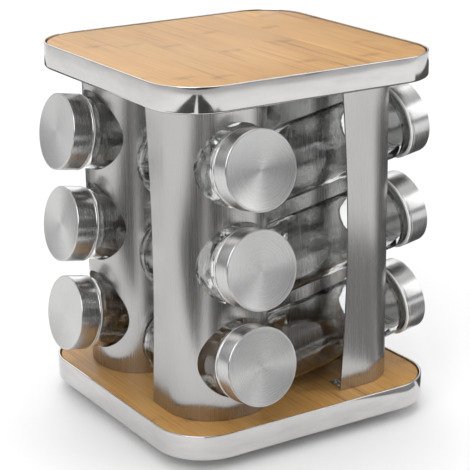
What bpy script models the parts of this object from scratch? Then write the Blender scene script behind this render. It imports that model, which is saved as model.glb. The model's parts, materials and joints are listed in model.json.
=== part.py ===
"""Spice carousel: a turning stand with two square trays, four jar columns and twelve jars.

Units are metres. +Z is up, the origin is on the spin axis at the underside of the foot ring,
and -Y is the front. Everything on the front side is repeated on the other three sides by a
quarter turn, like a pinwheel.
"""
import math

import bmesh
import bpy
from mathutils import Matrix, Vector

MM = 0.001
GAP = 0.3 * MM                  # clearance between pieces that touch on the real object
QUARTER_TURN = math.radians(90.0)

# Trays, the two square pans of pressed sheet, each with a bamboo board set in it.
TRAY_SIDE = 185.0 * MM
TRAY_CORNER = 32.0 * MM
TRAY_HEIGHT = 15.5 * MM
TRAY_SHEET = 1.0 * MM
BASE_TRAY_Z = 8.0 * MM
TOP_TRAY_Z = 212.0 * MM
BOARD_DROP = 0.8 * MM           # how far the board lies under the tray's lip
TRAY_CORNER_STEPS = 7

# Turntable under the base tray.
FOOT_RADIUS = 79.0 * MM
FOOT_BORE = 4.4 * MM
FOOT_Z = (2.3 * MM, 4.1 * MM)
FOOT_SKIRT_Z = 0.8 * MM
FOOT_SKIRT_WALL = 1.4 * MM
FOOT_CHAMFER = 0.9 * MM
PAD_RADII = (66.0 * MM, 75.0 * MM)
PAD_HEIGHT = 2.0 * MM
CAGE_RADII = (42.0 * MM, 48.0 * MM)
CAGE_SHEET = 0.6 * MM
BALL_RADIUS = 1.0 * MM
BALL_COUNT = 10
ROTOR_RADIUS = 60.0 * MM
ROTOR_SHEET = 1.0 * MM
RIVET_SHANK = 4.0 * MM
RIVET_HEADS = (6.5 * MM, 7.5 * MM)
RIVET_FOOT_Z = 0.5 * MM
RIVET_HEAD_HEIGHT = 0.6 * MM
RIVET_TOP_HEAD_HEIGHT = 1.0 * MM
WASHER_RADIUS = 9.0 * MM
WASHER_SHEET = 0.6 * MM
TRAY_BORE = 9.5 * MM            # room for the rivet's upper head in the base tray

# Columns, bent from sheet to a half tube that is open towards the middle.
COLUMN_WIDTH = 65.0 * MM
COLUMN_DEPTH = 48.2 * MM
COLUMN_BEND = 30.0 * MM
COLUMN_SHEET = 1.0 * MM
COLUMN_FACE_Y = -75.2 * MM
COLUMN_BEND_STEPS = 6
COLUMN_HOLE = 24.2 * MM
HOLE_RISE = 1.7 * MM                                         # the jar rests on the hole's lower lip
HOLE_STEPS = 20
TAB_LENGTH = 13.0 * MM
TAB_WIDTH = 12.0 * MM
TAB_END_GAP = 1.5 * MM

# Screws through the column tabs.
SCREW_HEAD = 3.3 * MM
SCREW_HEAD_HEIGHT = 1.8 * MM
SCREW_SHANK = 1.4 * MM
SCREW_LENGTH = 9.0 * MM
SCREW_CLEARANCE = 1.8 * MM
SCREW_STEPS = 8

# Jars. Their profiles count from the cap's outer face down the jar.
JAR_X = -43.5 * MM
JAR_FACE_Y = -98.3 * MM
JAR_LEVELS = {"bottom": 62.5 * MM, "middle": 120.5 * MM, "top": 178.5 * MM}
JAR_TILT = math.radians(10.0)
JAR_LENGTH = 107.8 * MM
JAR_RADIUS = 21.8 * MM
JAR_WALL = 2.1 * MM
JAR_BASE = 3.2 * MM
JAR_HEEL = 4.0 * MM
JAR_STEPS = 16
BEAD_RADIUS = 22.5 * MM
BEAD_DEPTHS = (14.8 * MM, 16.6 * MM)
BEAD_END = 17.6 * MM
NECK_RADIUS = 20.4 * MM
MOUTH_RADIUS = 17.7 * MM
MOUTH_DEPTH = 2.9 * MM
SHOULDER_DEPTH = 19.5 * MM
CAP_RADIUS = 23.2 * MM
CAP_LENGTH = 14.2 * MM
CAP_SHEET = 0.9 * MM
CAP_CHAMFER = 0.7 * MM
SIFTER_FLANGE = 19.6 * MM
SIFTER_SKIRT = 17.4 * MM
SIFTER_SHEET = 1.0 * MM
SIFTER_DEPTH = 8.0 * MM
SIFTER_HOLE = 2.4 * MM
SIFTER_HOLE_RING = 9.0 * MM
SIFTER_HOLE_COUNT = 4
SIFTER_STEPS = 12

SIDES = {"front": 0.0, "right": QUARTER_TURN, "back": 2 * QUARTER_TURN, "left": -QUARTER_TURN}

BOARD_Z = BASE_TRAY_Z + TRAY_HEIGHT - BOARD_DROP          # top of the lower board
COLUMN_X = JAR_X - COLUMN_WIDTH / 2                        # outer flange of the front column
COLUMN_Z = (BOARD_Z + GAP, TOP_TRAY_Z - GAP)
SCREW_PLACE = Vector((COLUMN_X + COLUMN_SHEET + 0.58 * TAB_LENGTH,
                      COLUMN_FACE_Y + COLUMN_DEPTH - TAB_END_GAP - TAB_WIDTH / 2, 0.0))


# ---------------------------------------------------------------- modelling helpers

def clear_scene():
    """Remove every object that the file starts with."""
    for obj in list(bpy.data.objects):
        bpy.data.objects.remove(obj, do_unlink=True)


def finish_material(name, colour, metallic, roughness, transmission=0.0):
    """A Principled material for one finish of the object."""
    material = bpy.data.materials.new(name)
    material.use_nodes = True
    shader = material.node_tree.nodes["Principled BSDF"]
    shader.inputs["Base Color"].default_value = (*colour, 1.0)
    shader.inputs["Metallic"].default_value = metallic
    shader.inputs["Roughness"].default_value = roughness
    shader.inputs["Transmission Weight"].default_value = transmission
    return material


def mesh_from(bm, name):
    """Close the bmesh into a mesh whose faces point outwards."""
    bmesh.ops.recalc_face_normals(bm, faces=bm.faces[:])
    mesh = bpy.data.meshes.new(name)
    bm.to_mesh(mesh)
    bm.free()
    return mesh


def turned(name, profile, steps, ring=False):
    """Spin a profile of (radius, height) points round Z. A ring's profile closes on itself."""
    bm = bmesh.new()
    verts = [bm.verts.new((radius, 0.0, height)) for radius, height in profile]
    edges = [bm.edges.new(pair) for pair in zip(verts, verts[1:])]
    if ring:
        edges.append(bm.edges.new((verts[-1], verts[0])))
    bmesh.ops.spin(bm, geom=verts + edges, cent=(0, 0, 0), axis=(0, 0, 1),
                   angle=2 * math.pi, steps=steps, use_merge=True)
    bmesh.ops.remove_doubles(bm, verts=bm.verts[:], dist=0.001 * MM)
    return mesh_from(bm, name)


def prism(name, outline, bottom, top):
    """Extrude a flat outline of (x, y) points upwards."""
    bm = bmesh.new()
    face = bm.faces.new([bm.verts.new((x, y, bottom)) for x, y in outline])
    raised = bmesh.ops.extrude_face_region(bm, geom=[face])["geom"]
    moved = [item for item in raised if isinstance(item, bmesh.types.BMVert)]
    bmesh.ops.translate(bm, verts=moved, vec=(0, 0, top - bottom))
    return mesh_from(bm, name)


def arc(centre, radius, start, sweep, steps):
    """Points of an arc in the XY plane, both ends included. Angles are in radians."""
    angles = [start + sweep * step / steps for step in range(steps + 1)]
    return [(centre[0] + radius * math.cos(angle), centre[1] + radius * math.sin(angle))
            for angle in angles]


def rounded_square(side, corner, steps):
    """Outline of a square with round corners, centred on the origin."""
    reach = side / 2 - corner
    outline = []
    for turn, (sign_x, sign_y) in enumerate(((1, 1), (-1, 1), (-1, -1), (1, -1))):
        centre = (sign_x * reach, sign_y * reach)
        outline += arc(centre, corner, turn * QUARTER_TURN, QUARTER_TURN, steps)
    return outline


def add(name, mesh, material=None, parent=None, matrix=None):
    """Put a mesh in the scene as one named object."""
    obj = bpy.data.objects.new(name, mesh)
    if material is not None and not mesh.materials:
        mesh.materials.append(material)
    bpy.context.scene.collection.objects.link(obj)
    obj.parent = parent
    if matrix is not None:
        obj.matrix_local = matrix
    return obj


def rod(name, radius, start, end, steps):
    """A straight round bar between two points, as a mesh; its flats touch the radius."""
    start = Vector(start)
    run = Vector(end) - start
    profile = [(0.0, 0.0), (radius / math.cos(math.pi / steps), 0.0),
               (radius / math.cos(math.pi / steps), run.length), (0.0, run.length)]
    mesh = turned(name, profile, steps)
    turn = Vector((0, 0, 1)).rotation_difference(run).to_matrix().to_4x4()
    mesh.transform(Matrix.Translation(start) @ turn)
    return mesh


def combined(mesh, tools, operation):
    """The mesh after a Boolean with each tool mesh in turn."""
    base = add(mesh.name, mesh)
    helpers = []
    for tool in tools:
        helper = add(tool.name, tool)
        helper.hide_render = True
        helper.display_type = "WIRE"
        helpers.append(helper)
        boolean = base.modifiers.new(tool.name, "BOOLEAN")
        boolean.operation = operation
        boolean.object = helper
    depsgraph = bpy.context.evaluated_depsgraph_get()
    result = bpy.data.meshes.new_from_object(base.evaluated_get(depsgraph))
    for obj in (base, *helpers):
        bpy.data.objects.remove(obj, do_unlink=True)
    return result


def shade_round(mesh):
    """Shade a turned mesh smooth, with its real edges kept sharp."""
    mesh.shade_smooth()
    mesh.set_sharp_from_angle(angle=math.radians(40.0))


# ---------------------------------------------------------------- turntable

def build_turntable(steel, rubber, brass, plastic):
    """Foot disc, its rubber ring, the ball cage, the rotor plate, the rivet and its washer."""
    foot_low, foot_high = FOOT_Z
    foot = turned("foot_disc", [
        (FOOT_BORE, foot_low), (FOOT_RADIUS - FOOT_SKIRT_WALL, foot_low),
        (FOOT_RADIUS - FOOT_SKIRT_WALL, FOOT_SKIRT_Z), (FOOT_RADIUS, FOOT_SKIRT_Z),
        (FOOT_RADIUS, foot_high - FOOT_CHAMFER), (FOOT_RADIUS - FOOT_CHAMFER, foot_high),
        (FOOT_BORE, foot_high)], 32, ring=True)
    shade_round(foot)
    add("foot_disc", foot, steel)

    inner, outer = PAD_RADII
    pad = turned("foot_ring", [(inner, 0.0), (outer, 0.0), (outer, PAD_HEIGHT),
                               (inner, PAD_HEIGHT)], 32, ring=True)
    shade_round(pad)
    add("foot_ring", pad, rubber)

    ball_z = foot_high + GAP + BALL_RADIUS
    add("ball_cage", ball_cage(ball_z), plastic)

    rotor_z = ball_z + BALL_RADIUS + GAP
    rotor = turned("rotor_plate", [(FOOT_BORE, rotor_z), (ROTOR_RADIUS, rotor_z),
                                   (ROTOR_RADIUS, rotor_z + ROTOR_SHEET),
                                   (FOOT_BORE, rotor_z + ROTOR_SHEET)], 24, ring=True)
    shade_round(rotor)
    add("rotor_plate", rotor, steel)

    lower_head, upper_head = RIVET_HEADS
    head_low = RIVET_FOOT_Z + RIVET_HEAD_HEIGHT
    head_high = rotor_z + ROTOR_SHEET + GAP
    rivet = turned("pivot_rivet", [
        (0.0, RIVET_FOOT_Z), (lower_head, RIVET_FOOT_Z), (lower_head, head_low),
        (RIVET_SHANK, head_low), (RIVET_SHANK, head_high), (upper_head, head_high),
        (upper_head, head_high + RIVET_TOP_HEAD_HEIGHT),
        (0.0, head_high + RIVET_TOP_HEAD_HEIGHT)], 12)
    shade_round(rivet)
    add("pivot_rivet", rivet, brass)

    washer_z = foot_low - GAP - WASHER_SHEET
    washer = turned("pivot_washer", [(FOOT_BORE, washer_z), (WASHER_RADIUS, washer_z),
                                     (WASHER_RADIUS, washer_z + WASHER_SHEET),
                                     (FOOT_BORE, washer_z + WASHER_SHEET)], 14, ring=True)
    shade_round(washer)
    add("pivot_washer", washer, steel)


def ball_cage(ball_z):
    """A flat ring with the balls held in it, as one mesh."""
    inner, outer = CAGE_RADII
    low = ball_z - CAGE_SHEET / 2
    ring = turned("cage_ring", [(inner, low), (outer, low), (outer, low + CAGE_SHEET),
                                (inner, low + CAGE_SHEET)], BALL_COUNT * 3, ring=True)
    balls = []
    for number in range(BALL_COUNT):
        angle = 2 * math.pi * (number + 0.5) / BALL_COUNT
        centre = Vector((math.cos(angle), math.sin(angle), 0.0)) * (inner + outer) / 2
        bm = bmesh.new()
        bmesh.ops.create_uvsphere(bm, u_segments=6, v_segments=4, radius=BALL_RADIUS,
                                  matrix=Matrix.Translation(centre + Vector((0, 0, ball_z))))
        balls.append(mesh_from(bm, f"ball_{number}"))
    return combined(ring, balls, "UNION")


# ---------------------------------------------------------------- trays and boards

def screw_places():
    """The screw's place on each side, in the XY plane."""
    return [Matrix.Rotation(turn, 4, "Z") @ SCREW_PLACE for turn in SIDES.values()]


def build_tray(name, bottom, material, bore=None, screwed=False):
    """A pan: a floor and a low wall round it, drilled for the rivet or for the screws."""
    outline = rounded_square(TRAY_SIDE, TRAY_CORNER, TRAY_CORNER_STEPS)
    inside = rounded_square(TRAY_SIDE - 2 * TRAY_SHEET, TRAY_CORNER - TRAY_SHEET,
                            TRAY_CORNER_STEPS)
    shell = prism(name, outline, bottom, bottom + TRAY_HEIGHT)
    floor = bottom + TRAY_SHEET
    cutters = [prism("well", inside, floor, bottom + TRAY_HEIGHT + TRAY_SHEET)]
    below = bottom - TRAY_SHEET
    if bore is not None:
        cutters.append(rod("bore", bore, (0, 0, below), (0, 0, floor + TRAY_SHEET), 16))
    if screwed:
        for place in screw_places():
            cutters.append(rod("screw_hole", SCREW_CLEARANCE, (place.x, place.y, below),
                               (place.x, place.y, floor + TRAY_SHEET), SCREW_STEPS))
    add(name, combined(shell, cutters, "DIFFERENCE"), material)


def build_board(name, tray_z, material, hole_low, hole_high):
    """The bamboo board in a tray, with blind holes for the column screws."""
    play = 2 * (TRAY_SHEET + GAP)
    outline = rounded_square(TRAY_SIDE - play, TRAY_CORNER - play / 2, TRAY_CORNER_STEPS)
    board = prism(name, outline, tray_z + TRAY_SHEET + GAP, tray_z + TRAY_HEIGHT - BOARD_DROP)
    holes = [rod("screw_hole", SCREW_CLEARANCE, (place.x, place.y, hole_low),
                 (place.x, place.y, hole_high), SCREW_STEPS) for place in screw_places()]
    add(name, combined(board, holes, "DIFFERENCE"), material)


# ---------------------------------------------------------------- columns

def column_mesh():
    """The front column: a bent sheet with three slanting holes and a screw tab at each end."""
    low, high = COLUMN_Z
    outer = half_tube(0.0)
    inner = half_tube(COLUMN_SHEET)
    sheet = prism("column", outer + inner[::-1], low, high)
    tabs = [tab_mesh(low, low + COLUMN_SHEET), tab_mesh(high - COLUMN_SHEET, high)]
    sheet = combined(sheet, tabs, "UNION")

    outward = jar_outward()
    cutters = []
    for level in JAR_LEVELS.values():
        face = Vector((JAR_X, JAR_FACE_Y, level + HOLE_RISE))
        cutters.append(rod("jar_hole", COLUMN_HOLE, face, face - outward * COLUMN_WIDTH,
                           HOLE_STEPS))
    for end in (low, high - COLUMN_SHEET):
        below = SCREW_PLACE + Vector((0, 0, end - COLUMN_SHEET))
        above = SCREW_PLACE + Vector((0, 0, end + 2 * COLUMN_SHEET))
        cutters.append(rod("tab_hole", SCREW_CLEARANCE, below, above, SCREW_STEPS))
    mesh = combined(sheet, cutters, "DIFFERENCE")
    shade_round(mesh)
    return mesh


def half_tube(inset):
    """Outline of the bent sheet, from the outer flange's free edge round to the inner one's."""
    bend = COLUMN_BEND - inset
    open_y = COLUMN_FACE_Y + COLUMN_DEPTH
    bend_y = COLUMN_FACE_Y + COLUMN_BEND
    left = COLUMN_X + COLUMN_BEND
    right = COLUMN_X + COLUMN_WIDTH - COLUMN_BEND
    half_turn = 2 * QUARTER_TURN
    outline = [(left - bend, open_y)]
    outline += arc((left, bend_y), bend, half_turn, QUARTER_TURN, COLUMN_BEND_STEPS)
    outline += arc((right, bend_y), bend, half_turn + QUARTER_TURN, QUARTER_TURN,
                   COLUMN_BEND_STEPS)
    outline.append((right + bend, open_y))
    return outline


def tab_mesh(bottom, top):
    """A flat tab that reaches inwards from the outer flange."""
    start = COLUMN_X + COLUMN_SHEET / 2
    end = COLUMN_X + COLUMN_SHEET + TAB_LENGTH
    edge = COLUMN_FACE_Y + COLUMN_DEPTH - TAB_END_GAP
    outline = [(start, edge - TAB_WIDTH), (end, edge - TAB_WIDTH), (end, edge), (start, edge)]
    return prism("tab", outline, bottom, top)


def screw_mesh():
    """A domed screw whose head stands on z = 0 and whose shank points down."""
    mesh = turned("column_screw", [
        (0.0, SCREW_HEAD_HEIGHT), (0.6 * SCREW_HEAD, 0.8 * SCREW_HEAD_HEIGHT),
        (SCREW_HEAD, 0.0), (SCREW_SHANK, 0.0), (SCREW_SHANK, 1.0 * MM - SCREW_LENGTH),
        (0.0, -SCREW_LENGTH)], SCREW_STEPS)
    shade_round(mesh)
    return mesh


# ---------------------------------------------------------------- jars

def jar_outward():
    """Direction from a front jar's bottom to its cap."""
    return Vector((0.0, -math.cos(JAR_TILT), math.sin(JAR_TILT)))


def down_the_jar(profile):
    """Turn (radius, depth) points into (radius, height) points, the cap's face at zero."""
    return [(radius, -depth) for radius, depth in profile]


def jar_mesh():
    """The glass: neck, bead, straight body, rounded heel and the hollow inside."""
    bore = JAR_RADIUS - JAR_WALL
    bead_start, bead_stop = BEAD_DEPTHS
    heel_slope = 0.3 * JAR_HEEL
    mesh = turned("spice_jar", down_the_jar([
        (0.0, JAR_LENGTH), (JAR_RADIUS - JAR_HEEL, JAR_LENGTH),
        (JAR_RADIUS - heel_slope, JAR_LENGTH - heel_slope), (JAR_RADIUS, JAR_LENGTH - JAR_HEEL),
        (JAR_RADIUS, BEAD_END), (BEAD_RADIUS, bead_stop), (BEAD_RADIUS, bead_start),
        (NECK_RADIUS, bead_start - GAP), (NECK_RADIUS, MOUTH_DEPTH),
        (MOUTH_RADIUS, MOUTH_DEPTH), (MOUTH_RADIUS, BEAD_DEPTHS[0]),
        (bore, SHOULDER_DEPTH), (bore, JAR_LENGTH - JAR_BASE - heel_slope),
        (0.0, JAR_LENGTH - JAR_BASE)]), JAR_STEPS)
    shade_round(mesh)
    return mesh


def cap_mesh():
    """The screw cap: a cup of sheet that covers the neck."""
    inside = CAP_RADIUS - CAP_SHEET
    mesh = turned("jar_cap", down_the_jar([
        (0.0, 0.0), (CAP_RADIUS - CAP_CHAMFER, 0.0), (CAP_RADIUS, CAP_CHAMFER),
        (CAP_RADIUS, CAP_LENGTH), (inside, CAP_LENGTH), (inside, CAP_SHEET),
        (0.0, CAP_SHEET)]), JAR_STEPS)
    shade_round(mesh)
    return mesh


def sifter_mesh():
    """The insert in the neck: a flange, a skirt and a plate with pouring holes."""
    top = CAP_SHEET + GAP
    under = top + SIFTER_SHEET
    inside = SIFTER_SKIRT - SIFTER_SHEET
    plug = turned("sifter", down_the_jar([
        (0.0, top), (SIFTER_FLANGE, top), (SIFTER_FLANGE, under), (SIFTER_SKIRT, under),
        (SIFTER_SKIRT, SIFTER_DEPTH), (inside, SIFTER_DEPTH), (inside, under),
        (0.0, under)]), SIFTER_STEPS)
    holes = []
    for number in range(SIFTER_HOLE_COUNT):
        angle = 2 * math.pi * (number + 0.5) / SIFTER_HOLE_COUNT
        x = SIFTER_HOLE_RING * math.cos(angle)
        y = SIFTER_HOLE_RING * math.sin(angle)
        holes.append(rod("pour_hole", SIFTER_HOLE, (x, y, -under - SIFTER_SHEET), (x, y, 0.0), 6))
    return combined(plug, holes, "DIFFERENCE")


# ---------------------------------------------------------------- assembly

def main():
    clear_scene()
    steel = finish_material("brushed_steel", (0.62, 0.60, 0.58), 1.0, 0.28)
    bright = finish_material("polished_steel", (0.74, 0.72, 0.70), 1.0, 0.12)
    bamboo = finish_material("bamboo", (0.66, 0.38, 0.15), 0.0, 0.42)
    glass = finish_material("clear_glass", (0.86, 0.93, 0.90), 0.0, 0.04, 0.9)
    plastic = finish_material("clear_plastic", (0.85, 0.85, 0.82), 0.0, 0.35)
    rubber = finish_material("black_rubber", (0.02, 0.02, 0.02), 0.0, 0.8)
    brass = finish_material("zinc_plate", (0.60, 0.60, 0.58), 1.0, 0.35)

    build_turntable(bright, rubber, brass, plastic)
    build_tray("base_tray", BASE_TRAY_Z, bright, bore=TRAY_BORE)
    build_tray("top_tray", TOP_TRAY_Z, bright, screwed=True)
    build_board("base_board", BASE_TRAY_Z, bamboo, BOARD_Z - SCREW_LENGTH, BOARD_Z + MM)
    build_board("top_board", TOP_TRAY_Z, bamboo, TOP_TRAY_Z, TOP_TRAY_Z + SCREW_LENGTH)

    column = column_mesh()
    screw = screw_mesh()
    jar = jar_mesh()
    cap = cap_mesh()
    sifter = sifter_mesh()
    low, high = COLUMN_Z
    lower_screw = Matrix.Translation(SCREW_PLACE + Vector((0, 0, low + COLUMN_SHEET + GAP)))
    upper_screw = (Matrix.Translation(SCREW_PLACE + Vector((0, 0, high - COLUMN_SHEET - GAP)))
                   @ Matrix.Rotation(2 * QUARTER_TURN, 4, "X"))
    lean = Matrix.Rotation(QUARTER_TURN - JAR_TILT, 4, "X")
    for side, turn in SIDES.items():
        corner = add(f"side_{side}", None, matrix=Matrix.Rotation(turn, 4, "Z"))
        add(f"column_{side}", column, steel, corner)
        add(f"screw_{side}_lower", screw, bright, corner, lower_screw)
        add(f"screw_{side}_upper", screw, bright, corner, upper_screw)
        for level, height in JAR_LEVELS.items():
            seat = Matrix.Translation((JAR_X, JAR_FACE_Y, height)) @ lean
            add(f"jar_{side}_{level}", jar, glass, corner, seat)
            add(f"cap_{side}_{level}", cap, steel, corner, seat)
            add(f"sifter_{side}_{level}", sifter, plastic, corner, seat)


main()
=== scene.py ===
"""Spice carousel: the looks around the packed frame.

Every piece is modelled in the frame's own space, in metres, and rides on one of its bodies.
The jars, caps and sifters are modelled once, standing at the origin with the cap's face at
z = 0 and the jar hanging below it, and are then copied into the twelve seats.
"""

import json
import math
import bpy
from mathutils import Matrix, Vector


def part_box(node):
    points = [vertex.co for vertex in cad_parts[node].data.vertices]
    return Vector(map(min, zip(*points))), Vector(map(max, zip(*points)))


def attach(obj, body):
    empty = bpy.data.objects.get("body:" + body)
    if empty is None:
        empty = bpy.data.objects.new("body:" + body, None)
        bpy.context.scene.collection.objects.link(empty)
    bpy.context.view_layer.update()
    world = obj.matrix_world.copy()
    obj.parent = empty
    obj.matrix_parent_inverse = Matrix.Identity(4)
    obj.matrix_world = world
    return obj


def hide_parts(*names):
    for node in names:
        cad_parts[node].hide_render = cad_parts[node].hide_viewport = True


bl_info = {
    "name": "Spice Carousel",
    "version": (1, 0, 0),
    "blender": (4, 5, 0),
    "location": "View3D > Sidebar > Carousel",
    "description": "Builds the fine pieces, finishes and studio of a square turning spice stand",
    "category": "Object",
}

import bmesh
import bpy
from bpy.props import FloatProperty, FloatVectorProperty, IntProperty, PointerProperty
from bpy.types import Operator, Panel, PropertyGroup
from mathutils import Matrix, Vector

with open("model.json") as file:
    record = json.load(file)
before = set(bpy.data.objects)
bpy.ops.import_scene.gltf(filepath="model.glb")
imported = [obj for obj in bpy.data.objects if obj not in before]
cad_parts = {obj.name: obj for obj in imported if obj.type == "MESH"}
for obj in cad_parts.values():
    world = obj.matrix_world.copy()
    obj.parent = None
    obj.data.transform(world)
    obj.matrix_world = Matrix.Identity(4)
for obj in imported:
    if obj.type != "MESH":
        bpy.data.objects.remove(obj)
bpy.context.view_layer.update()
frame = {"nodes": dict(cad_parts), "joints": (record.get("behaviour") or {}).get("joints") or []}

MM = 0.001
FULL_TURN = 2 * math.pi
QUARTER = math.pi / 2
SHARP = math.radians(35.0)                      # edges sharper than this are rounded
TOUCH = 0.01 * MM                               # points nearer than this are in one place
MAP_UNIT = 20 * MM                              # length of one unit of a UV map
SIDES = {"front": 0.0, "right": QUARTER, "back": 2 * QUARTER, "left": -QUARTER}
LEVELS = ("bottom", "middle", "top")
PREFIX = "carousel_"                            # keeps the finishes apart from the frame's own
AXES = {joint["child"]: Vector(joint["axis"]) for joint in frame["joints"]}


# ---------------------------------------------------------------- sizes read from the frame

def corners(node):
    """Lowest and highest corner of a node of the frame."""
    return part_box(node)


def end_centre(node, direction):
    """Middle of the flat end of a turned node, on the side that a direction points to."""
    places = [vertex.co for vertex in frame["nodes"][node].data.vertices]
    far = max(place.dot(direction) for place in places)
    rim = [place for place in places if far - place.dot(direction) < 0.05 * MM]
    low = Vector(map(min, zip(*rim)))
    high = Vector(map(max, zip(*rim)))
    return (low + high) / 2


def seat(side, level):
    """Matrix that takes a piece modelled at the origin to its seat in the stand."""
    outward = AXES[f"jar_{side}_{level}"]
    face = end_centre(f"cap_{side}_{level}", outward)
    lean = Vector((0, 0, 1)).rotation_difference(outward).to_matrix().to_4x4()
    return Matrix.Translation(face) @ lean


def jar_length():
    """Distance from the cap's face to the underside of the jar."""
    outward = AXES["jar_front_top"]
    return (end_centre("cap_front_top", outward) - end_centre("jar_front_top", -outward)).length


COLUMN_LOW, COLUMN_HIGH = corners("column_front")
FOOT_LOW, FOOT_HIGH = corners("foot_disc")
PAD_HIGH = corners("foot_ring")[1]
JAR_LENGTH = jar_length()


# ---------------------------------------------------------------- settings

def measure(name, description, default):
    """A length that the panel shows."""
    return FloatProperty(name=name, description=description, default=default,
                         unit="LENGTH", subtype="DISTANCE")


def paint(name, description, default):
    """A colour that the panel shows."""
    return FloatVectorProperty(name=name, description=description, default=default,
                               subtype="COLOR")


class TraySettings(PropertyGroup):
    """Sizes of the two trays and their boards."""
    corner: measure("Corner radius", "Radius of the trays' corners", 32.0 * MM)
    lip: measure("Lip", "Width of the rolled lip round the board", 1.2 * MM)
    heel: measure("Lower edge", "Radius of the tray's lower edge", 1.6 * MM)
    shadow_gap: measure("Gap", "Gap between the lip and the board", 0.8 * MM)


class ColumnSettings(PropertyGroup):
    """Sizes of the bent columns."""
    bend: measure("Bend radius", "Outer radius of the two long bends", 30.0 * MM)
    sheet: measure("Sheet", "Thickness of the sheet", 1.0 * MM)
    hole: measure("Hole radius", "Radius of a jar hole", 24.2 * MM)
    rise: measure("Hole rise", "Height of a hole's axis above its jar's", 1.7 * MM)
    bow: measure("Bow", "How far the outer flange's free edge curves in", 4.5 * MM)
    tab: measure("Tab length", "How far a screw tab reaches inwards", 13.0 * MM)
    rows: IntProperty(name="Rows", description="Cuts across the height of the sheet",
                      default=40, min=4, max=120)


class JarSettings(PropertyGroup):
    """Sizes of the jar and its cap."""
    radius: measure("Jar radius", "Outer radius of the glass", 21.8 * MM)
    wall: measure("Glass wall", "Thickness of the glass", 2.1 * MM)
    neck: measure("Neck radius", "Outer radius of the neck", 20.4 * MM)
    cap_radius: measure("Cap radius", "Outer radius of the cap", 23.2 * MM)
    cap_length: measure("Cap length", "Length of the whole cap", 14.2 * MM)
    facets: IntProperty(name="Steps round", description="Steps round the jar",
                        default=72, min=24, max=144)


class FinishSettings(PropertyGroup):
    """Colours of the finishes."""
    polished: paint("Polished steel", "Colour of the tray rims", (0.60, 0.59, 0.58))
    brushed: paint("Brushed steel", "Colour of the columns", (0.52, 0.51, 0.50))
    spun: paint("Spun steel", "Colour of the caps", (0.60, 0.595, 0.59))
    bamboo_pale: paint("Pale bamboo", "Palest strips", (0.585, 0.345, 0.115))
    bamboo_dark: paint("Dark bamboo", "Darkest strips", (0.41, 0.205, 0.060))
    glass: paint("Glass", "Tint of the jars", (0.985, 0.994, 0.988))


class StudioSettings(PropertyGroup):
    """The camera, the grey cards, the sky and the lamps."""
    azimuth: FloatProperty(name="Azimuth", description="Turn of the camera round the stand",
                           default=math.radians(-31.9), unit="ROTATION", subtype="ANGLE")
    distance: measure("Distance", "Level distance from the spin axis", 0.970)
    height: measure("Height", "Height of the camera above the floor", 0.4234)
    aim: measure("Aim", "Height on the spin axis the camera looks at", 0.1069)
    roll: FloatProperty(name="Roll", description="Roll of the camera",
                        default=math.radians(-0.70), unit="ROTATION", subtype="ANGLE")
    lens: FloatProperty(name="Lens", description="Focal length of the lens in millimetres",
                        default=125.7, min=20.0, max=400.0)
    front_card: FloatProperty(name="Front card", description="Grey of the two front cards",
                              default=0.04, min=0.0, max=1.0)
    side_card: FloatProperty(name="Side card", description="Grey of the card on the right",
                             default=0.20, min=0.0, max=1.0)
    back_cards: FloatProperty(name="Back cards", description="Grey of the two cards behind",
                              default=0.06, min=0.0, max=1.0)
    sky: FloatProperty(name="Sky", description="Strength of the sky", default=0.95, min=0.0)
    lamps: FloatProperty(name="Lamps", description="Strength of the lamps", default=0.95, min=0.0)


# ---------------------------------------------------------------- bench: modelling helpers

def clear_selection():
    """Leave nothing selected and no piece active."""
    bpy.ops.object.select_all(action="DESELECT")
    bpy.context.view_layer.objects.active = None


def take(piece):
    """Make one piece the only selected and active one."""
    clear_selection()
    piece.select_set(True)
    bpy.context.view_layer.objects.active = piece


def start_edit():
    bpy.ops.object.mode_set(mode="EDIT")


def stop_edit():
    bpy.ops.object.mode_set(mode="OBJECT")


def pick(piece, kind, test):
    """In edit mode, select the faces or edges that pass a test, and nothing else."""
    bpy.ops.mesh.select_mode(type="FACE" if kind == "faces" else "EDGE")
    bpy.ops.mesh.select_all(action="DESELECT")
    bm = bmesh.from_edit_mesh(piece.data)
    bm.normal_update()
    for item in getattr(bm, kind):
        item.select_set(test(item))
    bm.select_flush_mode()
    bmesh.update_edit_mesh(piece.data)


def edge_middle(edge):
    return (edge.verts[0].co + edge.verts[1].co) / 2


def is_upright(edge):
    run = edge.verts[1].co - edge.verts[0].co
    return abs(run.z) > 0.99 * run.length


def apply_modifier(piece, kind, **values):
    """Add a modifier, set its values and apply it."""
    take(piece)
    modifier = piece.modifiers.new(kind.lower(), kind)
    for name, value in values.items():
        setattr(modifier, name, value)
    bpy.ops.object.modifier_apply(modifier=modifier.name)


def soften(piece, width, segments=2, angle=SHARP):
    """Round the sharp edges of a piece and shade it smooth."""
    apply_modifier(piece, "BEVEL", width=width, segments=segments, limit_method="ANGLE",
                   angle_limit=angle, harden_normals=False)
    shade(piece)


def shade(piece, angle=SHARP):
    take(piece)
    bpy.ops.object.shade_smooth_by_angle(angle=angle)


def block(name, low, high):
    """A box between two corners, with its place in its mesh."""
    clear_selection()
    low = Vector(low)
    high = Vector(high)
    bpy.ops.mesh.primitive_cube_add(size=1.0, location=(low + high) / 2, scale=high - low)
    piece = bpy.context.active_object
    piece.name = name
    bpy.ops.object.transform_apply(location=True, rotation=True, scale=True)
    return piece


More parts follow.
